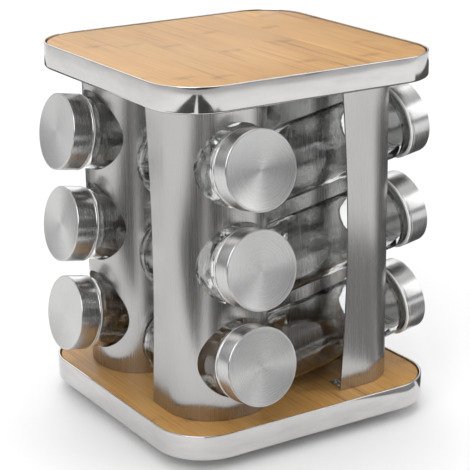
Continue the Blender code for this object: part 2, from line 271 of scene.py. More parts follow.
def turned(name, profile, steps, ring=False):
    """Spin a profile of (radius, height) points round Z, as on a lathe."""
    clear_selection()
    bpy.ops.mesh.primitive_plane_add(size=10 * MM, location=(0, 0, 0))
    piece = bpy.context.active_object
    piece.name = name
    start_edit()
    bpy.ops.mesh.select_mode(type="VERT")
    bpy.ops.mesh.select_all(action="SELECT")
    bpy.ops.mesh.merge(type="CENTER")
    bpy.ops.transform.translate(value=(profile[0][0], 0, profile[0][1]))
    stops = profile + [profile[0]] if ring else profile
    for (radius, height), (next_radius, next_height) in zip(stops, stops[1:]):
        step = (next_radius - radius, 0, next_height - height)
        bpy.ops.mesh.extrude_vertices_move(TRANSFORM_OT_translate={"value": step})
    bpy.ops.mesh.select_all(action="SELECT")
    bpy.ops.mesh.spin(steps=steps, angle=FULL_TURN, center=(0, 0, 0), axis=(0, 0, 1))
    bpy.ops.mesh.select_all(action="SELECT")
    bpy.ops.mesh.remove_doubles(threshold=0.002 * MM)
    bpy.ops.mesh.normals_make_consistent(inside=False)
    stop_edit()
    return piece


def drill(piece, radius, start, end, steps=64):
    """Cut a round hole between two points."""
    clear_selection()
    start = Vector(start)
    run = Vector(end) - start
    turn = Vector((0, 0, 1)).rotation_difference(run).to_euler()
    bpy.ops.mesh.primitive_cylinder_add(vertices=steps, radius=radius, depth=run.length,
                                        location=start + run / 2, rotation=turn)
    combine(piece, bpy.context.active_object, "DIFFERENCE")


def combine(piece, part, operation):
    """Cut a part out of a piece or unite it with the piece, and discard the part."""
    apply_modifier(piece, "BOOLEAN", operation=operation, solver="EXACT", object=part)
    discard(part)


def map_round(piece):
    """Lay a UV map on a turned piece: U runs along the profile, V runs round it."""
    layer = piece.data.uv_layers.new(name="turning")
    for face in piece.data.polygons:
        middle = math.atan2(face.center.y, face.center.x)
        flat = abs(face.normal.z) > 0.7
        for loop in face.loop_indices:
            place = piece.data.vertices[piece.data.loops[loop].vertex_index].co
            radius = math.hypot(place.x, place.y)
            angle = middle if radius < TOUCH else math.atan2(place.y, place.x)
            if angle - middle > math.pi:
                angle -= FULL_TURN
            if middle - angle > math.pi:
                angle += FULL_TURN
            along = radius if flat else -place.z
            layer.data[loop].uv = (along / MAP_UNIT, angle / FULL_TURN)


def map_sheet(piece):
    """Lay a UV map on an upright sheet: U runs level round it, V runs up."""
    layer = piece.data.uv_layers.new(name="sheet")
    for face in piece.data.polygons:
        level = Vector((-face.normal.y, face.normal.x, 0.0))
        level = level.normalized() if level.length > 0.01 else Vector((1, 0, 0))
        for loop in face.loop_indices:
            place = piece.data.vertices[piece.data.loops[loop].vertex_index].co
            layer.data[loop].uv = (place.dot(level) / MAP_UNIT, place.z / MAP_UNIT)


def set_finish(piece, material):
    piece.data.materials.clear()
    piece.data.materials.append(material)


def mount(piece, body, slot, *nodes):
    """Ride a finished piece on a body, in place of the frame's own nodes."""
    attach(piece, body)
    if nodes:
        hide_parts(*nodes)


def copy_to(model, name, matrix):
    """A copy of a model with its own mesh, moved by a matrix."""
    mesh = model.data.copy()
    mesh.transform(matrix)
    piece = bpy.data.objects.new(name, mesh)
    bpy.context.scene.collection.objects.link(piece)
    return piece


def discard(piece):
    bpy.data.objects.remove(piece, do_unlink=True)


# ---------------------------------------------------------------- finishes

def new_finish(name, colour, metallic=0.0, roughness=0.5):
    """A material with a Principled shader; returns the material, its tree and the shader."""
    material = bpy.data.materials.new(PREFIX + name)
    material.use_nodes = True
    tree = material.node_tree
    shader = tree.nodes["Principled BSDF"]
    shader.inputs["Base Color"].default_value = (*colour, 1.0)
    shader.inputs["Metallic"].default_value = metallic
    shader.inputs["Roughness"].default_value = roughness
    return material, tree, shader


def add_node(tree, kind, links=None, **values):
    """Add a node, set its values and link its inputs. Value names that are inputs go there."""
    node = tree.nodes.new(kind)
    for name, value in values.items():
        if name in node.inputs:
            node.inputs[name].default_value = value
        else:
            setattr(node, name, value)
    for name, source in (links or {}).items():
        tree.links.new(source, node.inputs[name])
    return node


def stretch(tree, vector, scale):
    node = add_node(tree, "ShaderNodeMapping", {"Vector": vector}, Scale=scale)
    return node.outputs["Vector"]


def place_on_object(tree, scale):
    """Object coordinates, stretched by a scale."""
    return stretch(tree, add_node(tree, "ShaderNodeTexCoord").outputs["Object"], scale)


def place_on_map(tree, map_name, scale):
    """The piece's own UV map, stretched by a scale."""
    return stretch(tree, add_node(tree, "ShaderNodeUVMap", uv_map=map_name).outputs["UV"], scale)


def noise(tree, vector, detail, roughness=0.55, scale=1.0):
    node = add_node(tree, "ShaderNodeTexNoise", {"Vector": vector}, Scale=scale, Detail=detail,
                    Roughness=roughness)
    return node.outputs["Fac"]


def spread(tree, source, low=0.0, high=1.0, start=0.3, stop=0.7):
    """Map the stretch of a value from start to stop onto a range."""
    ranges = {"From Min": start, "From Max": stop, "To Min": low, "To Max": high}
    return add_node(tree, "ShaderNodeMapRange", {"Value": source}, **ranges).outputs["Result"]


def tint(tree, source, colours):
    """A colour ramp with evenly spaced colours."""
    node = add_node(tree, "ShaderNodeValToRGB", {"Fac": source})
    elements = node.color_ramp.elements
    while len(elements) < len(colours):
        elements.new(0.5)
    for number, colour in enumerate(colours):
        elements[number].position = number / (len(colours) - 1)
        elements[number].color = (*colour, 1.0)
    return node.outputs["Color"]


def feed(tree, target, source):
    """Link a socket to an input, or set the input to a value."""
    if isinstance(source, bpy.types.NodeSocket):
        tree.links.new(source, target)
    else:
        target.default_value = source


def calculate(tree, operation, *sources):
    """Work out numbers, each a value or a socket."""
    node = add_node(tree, "ShaderNodeMath", operation=operation)
    for target, source in zip(node.inputs, sources):
        feed(tree, target, source)
    return node.outputs["Value"]


def blend_colour(tree, mode, factor, first, second):
    """Mix two colours; each may be a value or a socket."""
    node = add_node(tree, "ShaderNodeMix", data_type="RGBA", blend_type=mode)
    colour_inputs = [item for item in node.inputs if item.type == "RGBA"]
    for target, source in zip((node.inputs["Factor"], *colour_inputs), (factor, first, second)):
        feed(tree, target, source)
    return next(item for item in node.outputs if item.type == "RGBA")


def bump(tree, shader, height, distance, strength):
    node = add_node(tree, "ShaderNodeBump", {"Height": height}, Distance=distance,
                    Strength=strength)
    tree.links.new(node.outputs["Normal"], shader.inputs["Normal"])


def draw_out(tree, shader, map_name, amount):
    """Draw the highlights out along the tangent of a UV map."""
    shader.inputs["Anisotropic"].default_value = amount
    tangent = add_node(tree, "ShaderNodeTangent", direction_type="UV_MAP", uv_map=map_name)
    tree.links.new(tangent.outputs["Tangent"], shader.inputs["Tangent"])


def shades(colour, low, high):
    return [tuple(channel * low for channel in colour), tuple(channel * high for channel in colour)]


def polished_finish(colour):
    """Bright pressed sheet: nearly a mirror, with a soft wobble and faint wiping marks."""
    material, tree, shader = new_finish("polished_steel", colour, 1.0, 0.08)
    smear = noise(tree, place_on_object(tree, (60, 60, 260)), 5.0)
    tree.links.new(spread(tree, smear, 0.05, 0.15), shader.inputs["Roughness"])
    wiped = tint(tree, spread(tree, smear), shades(colour, 0.92, 1.05))
    tree.links.new(wiped, shader.inputs["Base Color"])
    wobble = noise(tree, place_on_object(tree, (22, 22, 36)), 1.0)
    bump(tree, shader, wobble, 0.9 * MM, 0.8)
    return material


def brushed_finish(colour):
    """Sheet brushed along Z: fine upright scratches that stretch the highlights sideways."""
    material, tree, shader = new_finish("brushed_steel", colour, 1.0, 0.24)
    scratches = noise(tree, place_on_object(tree, (3600, 3600, 22)), 3.0)
    clouds = noise(tree, place_on_object(tree, (18, 18, 9)), 2.0)
    tree.links.new(spread(tree, scratches, 0.19, 0.29), shader.inputs["Roughness"])
    lines = tint(tree, spread(tree, scratches), shades(colour, 0.93, 1.04))
    cloudy = tint(tree, spread(tree, clouds), [(0.86, 0.86, 0.86), (1.0, 1.0, 1.0)])
    tree.links.new(blend_colour(tree, "MULTIPLY", 1.0, lines, cloudy),
                   shader.inputs["Base Color"])
    draw_out(tree, shader, "sheet", 0.85)
    bump(tree, shader, scratches, 0.0015 * MM, 0.5)
    return material


def spun_finish(colour):
    """Sheet turned on a lathe: rings that draw a fan of light over the cap's face."""
    material, tree, shader = new_finish("spun_steel", colour, 1.0, 0.25)
    rings = noise(tree, place_on_map(tree, "turning", (260, 3, 1)), 3.0)
    tree.links.new(spread(tree, rings, 0.20, 0.33), shader.inputs["Roughness"])
    tree.links.new(tint(tree, rings, shades(colour, 0.93, 1.05)), shader.inputs["Base Color"])
    draw_out(tree, shader, "turning", 0.75)
    bump(tree, shader, rings, 0.003 * MM, 0.5)
    return material


STRIP = 20.0 * MM                               # width of one bamboo strip
KNUCKLE_GAP = 105.0 * MM                        # from one knuckle to the next along a strip


def bamboo_finish(pale, dark):
    """Pressed bamboo strips along Y, each with its own tone, fibres and a knuckle or two."""
    material, tree, shader = new_finish("bamboo", pale, 0.0, 0.42)
    where = add_node(tree, "ShaderNodeTexCoord").outputs["Object"]
    axes = add_node(tree, "ShaderNodeSeparateXYZ", {"Vector": where})
    count = calculate(tree, "DIVIDE", axes.outputs["X"], STRIP)
    number = calculate(tree, "FLOOR", count)
    across = calculate(tree, "FRACT", count)
    off_middle = calculate(tree, "ABSOLUTE", calculate(tree, "SUBTRACT", across, 0.5))
    tone = add_node(tree, "ShaderNodeTexWhiteNoise", {"W": number}, noise_dimensions="1D")
    shift = calculate(tree, "MULTIPLY", tone.outputs["Value"], 0.37)
    along = calculate(tree, "ADD", axes.outputs["Y"], shift)
    strip = add_node(tree, "ShaderNodeCombineXYZ", {
        "X": axes.outputs["X"], "Y": along, "Z": number}).outputs["Vector"]
    fibres = noise(tree, stretch(tree, strip, (1500, 28, 1)), 4.0, 0.6)
    streaks = noise(tree, stretch(tree, strip, (260, 9, 1)), 3.0)
    clouds = noise(tree, stretch(tree, strip, (30, 16, 1)), 2.0)
    light = tuple(min(1.0, 1.15 * part) for part in pale)
    ground = tint(tree, spread(tree, streaks), [dark, pale, pale, light])
    toned = tint(tree, tone.outputs["Value"], [(0.88, 0.85, 0.80), (1.05, 1.04, 1.03)])
    hair = tint(tree, spread(tree, fibres), [(0.66, 0.56, 0.45), (1.08, 1.08, 1.08)])
    blush = tint(tree, spread(tree, clouds), [(0.96, 0.87, 0.76), (1.02, 1.02, 1.02)])
    for layer, share in ((toned, 0.9), (hair, 0.75), (blush, 0.9)):
        ground = blend_colour(tree, "MULTIPLY", share, ground, layer)

    # A knuckle is a short smudge across the strip that comes back every so often along it.
    wander = noise(tree, stretch(tree, strip, (110, 60, 1)), 2.0)
    pace = calculate(tree, "MULTIPLY_ADD", along, 1.0 / KNUCKLE_GAP,
                     calculate(tree, "MULTIPLY", wander, 0.10))
    place = calculate(tree, "ABSOLUTE",
                      calculate(tree, "SUBTRACT", calculate(tree, "FRACT", pace), 0.5))
    knuckle = spread(tree, place, 1.0, 0.0, 0.0, 0.045)
    core = spread(tree, off_middle, 1.0, 0.0, 0.22, 0.46)
    patch = calculate(tree, "MULTIPLY", calculate(tree, "MULTIPLY", knuckle, core),
                      spread(tree, wander, 0.25, 1.0, 0.35, 0.6))
    ground = blend_colour(tree, "MIX", calculate(tree, "MULTIPLY", patch, 0.55), ground,
                          (*[part * 0.42 for part in dark], 1.0))
    joint = spread(tree, off_middle, 0.0, 1.0, 0.488, 0.5)
    ground = blend_colour(tree, "MULTIPLY", calculate(tree, "MULTIPLY", joint, 0.18), ground,
                          (0.45, 0.33, 0.22, 1.0))
    tree.links.new(ground, shader.inputs["Base Color"])
    tree.links.new(spread(tree, fibres, 0.34, 0.5), shader.inputs["Roughness"])
    shader.inputs["Specular IOR Level"].default_value = 0.3
    shader.inputs["Coat Weight"].default_value = 0.04
    shader.inputs["Coat Roughness"].default_value = 0.25
    bump(tree, shader, fibres, 0.03 * MM, 0.4)
    return material


def glass_finish(colour):
    """Pressed clear glass with a faint green tint and uneven walls that scatter the light."""
    material, tree, shader = new_finish("jar_glass", colour, 0.0, 0.0)
    shader.inputs["Transmission Weight"].default_value = 1.0
    shader.inputs["IOR"].default_value = 1.5
    waves = noise(tree, place_on_object(tree, (55, 55, 55)), 1.0)
    ripples = noise(tree, place_on_object(tree, (190, 190, 190)), 2.0)
    uneven = calculate(tree, "MULTIPLY_ADD", ripples, 0.07, waves)
    tree.links.new(tint(tree, waves, shades(colour, 0.98, 1.0)), shader.inputs["Base Color"])
    bump(tree, shader, uneven, 1.1 * MM, 0.6)
    return material


def plastic_finish(name, colour, roughness, grain=0.01):
    """Moulded plastic with a very fine grain."""
    material, tree, shader = new_finish(name, colour, 0.0, roughness)
    speckle = noise(tree, place_on_object(tree, (900, 900, 900)), 2.0)
    tree.links.new(tint(tree, speckle, shades(colour, 0.95, 1.02)), shader.inputs["Base Color"])
    tree.links.new(spread(tree, speckle, roughness - 0.05, roughness + 0.08),
                   shader.inputs["Roughness"])
    bump(tree, shader, speckle, grain * MM, 0.4)
    return material


def zinc_finish(colour):
    """Plated hardware with a cloudy satin face."""
    material, tree, shader = new_finish("zinc_plate", colour, 1.0, 0.35)
    clouds = noise(tree, place_on_object(tree, (240, 240, 240)), 3.0)
    tree.links.new(tint(tree, clouds, shades(colour, 0.88, 1.08)), shader.inputs["Base Color"])
    tree.links.new(spread(tree, clouds, 0.26, 0.44), shader.inputs["Roughness"])
    return material


def finish(name):
    """The finish of that name, made the first time it is asked for."""
    colours = bpy.context.scene.carousel_finishes
    makers = {
        "polished_steel": lambda: polished_finish(tuple(colours.polished)),
        "brushed_steel": lambda: brushed_finish(tuple(colours.brushed)),
        "spun_steel": lambda: spun_finish(tuple(colours.spun)),
        "bamboo": lambda: bamboo_finish(tuple(colours.bamboo_pale), tuple(colours.bamboo_dark)),
        "jar_glass": lambda: glass_finish(tuple(colours.glass)),
        "cap_liner": lambda: plastic_finish("cap_liner", (0.90, 0.90, 0.88), 0.35),
        "sifter_plastic": lambda: plastic_finish("sifter_plastic", (0.78, 0.78, 0.75), 0.3),
        "cage_plastic": lambda: plastic_finish("cage_plastic", (0.62, 0.62, 0.60), 0.45),
        "rubber": lambda: plastic_finish("rubber", (0.02, 0.02, 0.02), 0.75, 0.03),
        "zinc_plate": lambda: zinc_finish((0.60, 0.60, 0.58)),
    }
    return bpy.data.materials.get(PREFIX + name) or makers[name]()


# ---------------------------------------------------------------- operators: stand

TRAY_CORNER_CUTS = 22
TRAY_HEEL_CUTS = 5
LIP_ROUND = 0.45 * MM
BOARD_CORNER_CUTS = 18
BOARD_EDGE_ROUND = 0.6 * MM


class CAROUSEL_OT_trays(Operator):
    """Two pressed trays with a rolled lip and a round lower edge"""
    bl_idname = "carousel.trays"
    bl_label = "Trays"

    def execute(self, context):
        sizes = context.scene.carousel_trays
        for node in ("base_tray", "top_tray"):
            low, high = corners(node)
            piece = block(f"{node}_pan", low, high)
            start_edit()
            pick(piece, "edges", is_upright)
            bpy.ops.mesh.bevel(offset=sizes.corner, offset_type="OFFSET",
                               segments=TRAY_CORNER_CUTS, affect="EDGES")
            pick(piece, "edges", lambda edge: all(abs(vert.co.z - low.z) < TOUCH
                                                  for vert in edge.verts))
            bpy.ops.mesh.bevel(offset=sizes.heel, offset_type="OFFSET",
                               segments=TRAY_HEEL_CUTS, affect="EDGES")
            pick(piece, "faces", lambda face: face.normal.z > 0.9)
            bpy.ops.mesh.inset(thickness=sizes.lip)
            depth = high.z - low.z - sizes.lip
            bpy.ops.mesh.extrude_region_move(TRANSFORM_OT_translate={"value": (0, 0, -depth)})
            stop_edit()
            soften(piece, LIP_ROUND, 3)
            set_finish(piece, finish("polished_steel"))
            mount(piece, "carousel", "polished_steel", node)
        return {"FINISHED"}


class CAROUSEL_OT_boards(Operator):
    """Two bamboo boards with eased edges, each set in its tray"""
    bl_idname = "carousel.boards"
    bl_label = "Boards"

    def execute(self, context):
        sizes = context.scene.carousel_trays
        inset = sizes.lip + sizes.shadow_gap
        edge = corners("base_tray")[1].x - inset
        for node in ("base_board", "top_board"):
            low, high = corners(node)
            piece = block(f"{node}_bamboo", (-edge, -edge, low.z + sizes.lip), (edge, edge, high.z))
            start_edit()
            pick(piece, "edges", is_upright)
            bpy.ops.mesh.bevel(offset=sizes.corner - inset, offset_type="OFFSET",
                               segments=BOARD_CORNER_CUTS, affect="EDGES")
            stop_edit()
            soften(piece, BOARD_EDGE_ROUND, 3)
            set_finish(piece, finish("bamboo"))
            mount(piece, "carousel", "bamboo", node)
        return {"FINISHED"}


COLUMN_BEND_CUTS = 20
HOLE_CUTS = 96
TAB_HALF_WIDTH = 6.0 * MM
ON_FACE = 0.1 * MM                              # how near a point is to the flat it belongs to


class CAROUSEL_OT_columns(Operator):
    """Four bent columns with slanting jar holes and screw tabs"""
    bl_idname = "carousel.columns"
    bl_label = "Columns"

    def execute(self, context):
        model = self.bent_sheet(context.scene.carousel_columns)
        for side, turn in SIDES.items():
            piece = copy_to(model, f"column_{side}_sheet", Matrix.Rotation(turn, 4, "Z"))
            mount(piece, "carousel", "brushed_steel", f"column_{side}")
        discard(model)
        return {"FINISHED"}

    def bent_sheet(self, sizes):
        low, high = COLUMN_LOW, COLUMN_HIGH
        piece = block("column_sheet", low, high)
        start_edit()
        pick(piece, "edges", lambda edge: is_upright(edge)
             and abs(edge_middle(edge).y - low.y) < ON_FACE)
        bpy.ops.mesh.bevel(offset=sizes.bend, offset_type="OFFSET",
                           segments=COLUMN_BEND_CUTS, affect="EDGES")
        pick(piece, "faces", lambda face: abs(face.normal.z) > 0.9 or face.normal.y > 0.9)
        bpy.ops.mesh.delete(type="FACE")
        for row in range(1, sizes.rows):
            bpy.ops.mesh.select_all(action="SELECT")
            height = low.z + (high.z - low.z) * row / sizes.rows
            bpy.ops.mesh.bisect(plane_co=(0, 0, height), plane_no=(0, 0, 1))
        self.bow(piece, sizes)
        stop_edit()
        apply_modifier(piece, "SOLIDIFY", thickness=sizes.sheet, offset=-1.0)
        for bottom in (low.z, high.z - sizes.sheet):
            combine(piece, self.tab(sizes, bottom), "UNION")
        for level in LEVELS:
            outward = AXES[f"jar_front_{level}"]
            face = end_centre(f"cap_front_{level}", outward) + Vector((0, 0, sizes.rise))
            drill(piece, sizes.hole, face, face - outward * (high.x - low.x), HOLE_CUTS)
        shade(piece)
        map_sheet(piece)
        set_finish(piece, finish("brushed_steel"))
        return piece

    def bow(self, piece, sizes):
        """Curve the free edge of the outer flange inwards between its two ends."""
        low, high = COLUMN_LOW, COLUMN_HIGH
        bm = bmesh.from_edit_mesh(piece.data)
        for vert in bm.verts:
            if vert.co.x < low.x + ON_FACE and vert.co.y > high.y - ON_FACE:
                share = (vert.co.z - low.z) / (high.z - low.z)
                vert.co.y -= sizes.bow * math.sin(math.pi * share)
        bmesh.update_edit_mesh(piece.data)

    def tab(self, sizes, bottom):
        screw_low, screw_high = corners("screw_front_lower")
        middle = (screw_low + screw_high) / 2
        near = middle.y - TAB_HALF_WIDTH
        far = middle.y + TAB_HALF_WIDTH
        return block("tab", (COLUMN_LOW.x + 0.5 * sizes.sheet, near, bottom),
                     (COLUMN_LOW.x + sizes.sheet + sizes.tab, far, bottom + sizes.sheet))


SCREW_STEPS = 28


class CAROUSEL_OT_screws(Operator):
    """Domed cross-head screws in the column tabs"""
    bl_idname = "carousel.screws"
    bl_label = "Screws"

    def execute(self, context):
        low, high = corners("screw_front_lower")
        head = (high.x - low.x) / 2
        length = high.z - low.z
        dome = 1.8 * MM
        shank = 1.4 * MM
        slot_length = 2.6 * MM
        slot_width = 0.6 * MM
        slot_floor = 0.9 * MM
        slot_top = 2.5 * MM
        profile = [(head * math.cos(angle), dome * math.sin(angle))
                   for angle in (QUARTER * step / 6 for step in range(7))][::-1]
        profile[0] = (0.0, dome)
        profile += [(shank, 0.0), (shank, 1.6 * shank - length + dome), (0.0, dome - length)]
        model = turned("screw", profile, SCREW_STEPS)
        for along, across in ((slot_length, slot_width), (slot_width, slot_length)):
            slot = block("slot", (-along / 2, -across / 2, slot_floor),
                         (along / 2, across / 2, slot_top))
            combine(model, slot, "DIFFERENCE")
        shade(model)
        set_finish(model, finish("zinc_plate"))
        for side in SIDES:
            for end in ("lower", "upper"):
                node = f"screw_{side}_{end}"
                low, high = corners(node)
                middle = (low + high) / 2
                if end == "lower":
                    matrix = Matrix.Translation((middle.x, middle.y, high.z - dome))
                else:
                    matrix = (Matrix.Translation((middle.x, middle.y, low.z + dome))
                              @ Matrix.Rotation(math.pi, 4, "X"))
                piece = copy_to(model, f"{node}_domed", matrix)
                mount(piece, "carousel", "polished_steel", node)
        discard(model)
        return {"FINISHED"}


LATHE_STEPS = 128


class CAROUSEL_OT_turntable(Operator):
    """Foot disc, foot ring, rotor plate, rivet and washer; the ball cage keeps its frame shape"""
    bl_idname = "carousel.turntable"
    bl_label = "Turntable"

    def execute(self, context):
        skirt = 1.4 * MM
        bore = 4.4 * MM
        ease = 0.9 * MM
        plate = FOOT_HIGH.z - 2 * ease
        radius = FOOT_HIGH.x
        self.lathe_piece("foot_disc", [
            (bore, plate), (radius - skirt, plate), (radius - skirt, FOOT_LOW.z),
            (radius, FOOT_LOW.z), (radius, FOOT_HIGH.z - ease),
            (radius - ease, FOOT_HIGH.z), (bore, FOOT_HIGH.z)], "base", "polished_steel", 0.3)
        inner = 66.0 * MM
        outer = PAD_HIGH.x
        groove = 0.5 * MM
        ribs = [(inner, PAD_HIGH.z), (inner, 0.0)]
        for number in range(1, 4):
            middle = inner + (outer - inner) * number / 4
            ribs += [(middle - groove, 0.0), (middle, groove), (middle + groove, 0.0)]
        ribs += [(outer, 0.0), (outer, PAD_HIGH.z)]
        self.lathe_piece("foot_ring", ribs, "base", "rubber", 0.15)
        for node, body, material, edge in (("rotor_plate", "carousel", "polished_steel", 0.2),
                                           ("pivot_washer", "base", "zinc_plate", 0.12)):
            low, high = corners(node)
            self.lathe_piece(node, [(bore, low.z), (high.x, low.z), (high.x, high.z),
                                    (bore, high.z)], body, material, edge)
        low, high = corners("pivot_rivet")
        foot = 6.5 * MM
        shank = 4.0 * MM
        crown = high.z - 1.0 * MM
        self.lathe_piece("pivot_rivet", [
            (0.0, low.z + 0.2 * MM), (foot - 3.0 * MM, low.z), (foot, low.z + 0.3 * MM),
            (foot, low.z + 0.6 * MM), (shank, low.z + 0.6 * MM), (shank, crown),
            (high.x, crown), (high.x, high.z), (0.0, high.z)], "base", "zinc_plate", 0.12, False)
        set_finish(frame["nodes"]["ball_cage"], finish("cage_plastic"))
        return {"FINISHED"}

    def lathe_piece(self, node, profile, body, material, edge, ring=True):
        piece = turned(f"{node}_turned", profile, LATHE_STEPS, ring)
        soften(piece, edge * MM, 2)
        set_finish(piece, finish(material))
        mount(piece, body, "zinc" if material == "zinc_plate" else material, node)


# ---------------------------------------------------------------- operators: jars

def hanging(profile):
    """Turn (radius, depth in mm) points into (radius, height) points in metres."""
    return [(radius, -depth * MM) for radius, depth in profile]


def fill_seats(model, node, slot, suffix, body="jar"):
    """Copy a model into all twelve seats."""
    for side in SIDES:
        for level in LEVELS:
            place = f"{side}_{level}"
            piece = copy_to(model, f"{node}_{place}_{suffix}", seat(side, level))
            replaced = [] if suffix == "liner" else [f"{node}_{place}"]
            mount(piece, f"{body}_{place}", slot, *replaced)
    discard(model)


# Radii are in metres and depths in millimetres below the cap's face, as hanging() takes them.
HEEL = 4.0                                      # radius of the jar's lower edge
HEEL_STEPS = 6
PUNT = 1.0                                      # how far the jar's underside is pressed in
SHOULDER_END = 21.0
SHOULDER_LENGTH = 5.6
SHOULDER_STEPS = 5
NECK_END = 14.2
THREADS = (10.8, 7.4)                           # rings that stand for the screw thread
THREAD_DEPTH = 0.8 * MM
LIP = 2.9
MOUTH = 17.7 * MM
MOUTH_END = 14.5
GLASS_FLOOR = 3.2
KNURL = 0.28 * MM
KNURL_ROW = 0.8
SPRINKLE_RING = 9.0 * MM
SPRINKLE_HOLE = 2.4 * MM
CAP_STEPS = 96
SIFTER_STEPS = 64
HOLE_STEPS = 28


class CAROUSEL_OT_jars(Operator):
    """Glass jars with a ringed neck, a sloped shoulder, straight walls and a knurled heel"""
    bl_idname = "carousel.jars"
    bl_label = "Jars"

    def execute(self, context):
        sizes = context.scene.carousel_jars
        length = JAR_LENGTH / MM
        profile = self.outside(sizes, length) + self.inside(sizes, length)
        model = turned("jar", hanging(profile), sizes.facets)
        self.knurl(model, length, sizes)
        shade(model, math.radians(50.0))
        set_finish(model, finish("jar_glass"))
        fill_seats(model, "jar", "glass", "glass")
        return {"FINISHED"}

    def outside(self, sizes, length):
        """From the middle of the underside, up the wall and the neck to the lip."""
        radius = sizes.radius
        neck = sizes.neck
        profile = [(0.0, length - PUNT), (radius - 8 * MM, length - PUNT),
                   (radius - 6 * MM, length - 0.05)]
        for step in range(HEEL_STEPS + 1):
            angle = QUARTER * step / HEEL_STEPS
            profile.append((radius - HEEL * MM * (1 - math.sin(angle)),
                            length - HEEL * (1 - math.cos(angle))))
        profile += [(radius, length - HEEL - 3.0), (radius, SHOULDER_END)]
        for step in range(1, SHOULDER_STEPS + 1):
            share = step / SHOULDER_STEPS
            profile.append((radius - (radius - neck) * share * share,
                            SHOULDER_END - SHOULDER_LENGTH * share))
        profile.append((neck, NECK_END))
        crest = neck + THREAD_DEPTH
        for turn in THREADS:
            profile += [(neck, turn + 1.0), (crest, turn + 0.3), (crest, turn - 0.3),
                        (neck, turn - 1.0)]
        return profile + [(neck, LIP + 0.5), (neck - 0.5 * MM, LIP)]

    def inside(self, sizes, length):
        """From the lip, down the mouth and the bore to the middle of the glass floor."""
        bore = sizes.radius - sizes.wall
        profile = [(MOUTH + 0.4 * MM, LIP), (MOUTH, LIP + 0.4), (MOUTH, MOUTH_END)]
        for step in range(5):
            angle = QUARTER * step / 4
            profile.append((MOUTH + (bore - MOUTH) * math.sin(angle) ** 2,
                            MOUTH_END + 1.0 + 4.5 * step / 4))
        floor = length - GLASS_FLOOR
        for step in range(5):
            angle = QUARTER * step / 4
            profile.append((bore - 3 * MM * (1 - math.cos(angle)),
                            floor - 3.0 * (1 - math.sin(angle))))
        profile.append((0.0, floor - 0.8))
        return profile

    def knurl(self, piece, length, sizes):
        """Press every other point of the heel's rings inwards, like a pressed grip band."""
        start_edit()
        bpy.ops.mesh.select_mode(type="VERT")
        bpy.ops.mesh.select_all(action="DESELECT")
        bm = bmesh.from_edit_mesh(piece.data)
        inner = sizes.radius - (HEEL - 0.4) * MM
        for vert in bm.verts:
            depth = -vert.co.z / MM
            reach = math.hypot(vert.co.x, vert.co.y)
            in_band = length - HEEL + 0.1 < depth < length - 0.2 and reach > inner
            column = round(math.atan2(vert.co.y, vert.co.x) / FULL_TURN * sizes.facets)
            row = round((depth - length) / KNURL_ROW)
            vert.select_set(in_band and (column + row) % 2 == 0)
        bm.select_flush_mode()
        bmesh.update_edit_mesh(piece.data)
        bpy.ops.transform.shrink_fatten(value=-KNURL)
        stop_edit()


class CAROUSEL_OT_caps(Operator):
    """Spun steel caps, each with a plastic liner that shows as a ring at its mouth"""
    bl_idname = "carousel.caps"
    bl_label = "Caps"

    def execute(self, context):
        sizes = context.scene.carousel_jars
        radius = sizes.cap_radius
        end = sizes.cap_length / MM
        inside = radius - 0.6 * MM
        shell = turned("cap", hanging([
            (0.0, 0.12), (radius - 1.4 * MM, 0.12), (radius - 0.9 * MM, 0.0),
            (radius - 0.35 * MM, 0.08), (radius - 0.1 * MM, 0.35), (radius, 0.9),
            (radius, end - 2.4), (radius - 0.25 * MM, end - 2.1), (radius - 0.25 * MM, end - 1.7),
            (radius, end - 1.4), (radius, end - 0.9), (inside, end - 0.9), (inside, 1.0),
            (0.0, 1.0)]), CAP_STEPS)
        shade(shell, math.radians(25.0))
        map_round(shell)
        set_finish(shell, finish("spun_steel"))
        fill_seats(shell, "cap", "cap_steel", "shell", "cap")
        outer = inside - 0.05 * MM
        throat = sizes.neck + 1.0 * MM
        liner = turned("liner", hanging([
            (0.0, 1.05), (outer, 1.05), (outer, end - 0.88), (radius - 0.05 * MM, end - 0.88),
            (radius - 0.05 * MM, end), (throat, end), (throat, 1.25), (0.0, 1.25)]), CAP_STEPS)
        soften(liner, 0.08 * MM, 2)
        set_finish(liner, finish("cap_liner"))
        fill_seats(liner, "cap", "sifter_plastic", "liner", "cap")
        return {"FINISHED"}


class CAROUSEL_OT_sifters(Operator):
    """Plastic sifters in the jar necks"""
    bl_idname = "carousel.sifters"
    bl_label = "Sifters"

    def execute(self, context):
        flange = 19.6 * MM
        skirt = 17.4 * MM
        model = turned("sifter", hanging([
            (0.0, 1.4), (skirt - 1.2 * MM, 1.4), (skirt - 0.8 * MM, 1.3), (flange, 1.3),
            (flange, 2.2), (skirt, 2.3), (skirt, 5.0), (skirt - 0.2 * MM, 8.0),
            (skirt - 1.0 * MM, 8.0), (skirt - 1.0 * MM, 2.3), (0.0, 2.3)]), SIFTER_STEPS)
        for number in range(4):
            angle = FULL_TURN * (number + 0.5) / 4
            place = Vector((math.cos(angle), math.sin(angle), 0.0)) * SPRINKLE_RING
            drill(model, SPRINKLE_HOLE, place, place - Vector((0, 0, 4 * MM)), HOLE_STEPS)
        soften(model, 0.12 * MM, 2)
        set_finish(model, finish("sifter_plastic"))
        fill_seats(model, "sifter", "sifter_plastic", "moulded")
        return {"FINISHED"}


# ---------------------------------------------------------------- operator: studio

LAMP_AIM = 0.12                                 # height on the spin axis the lamps point at


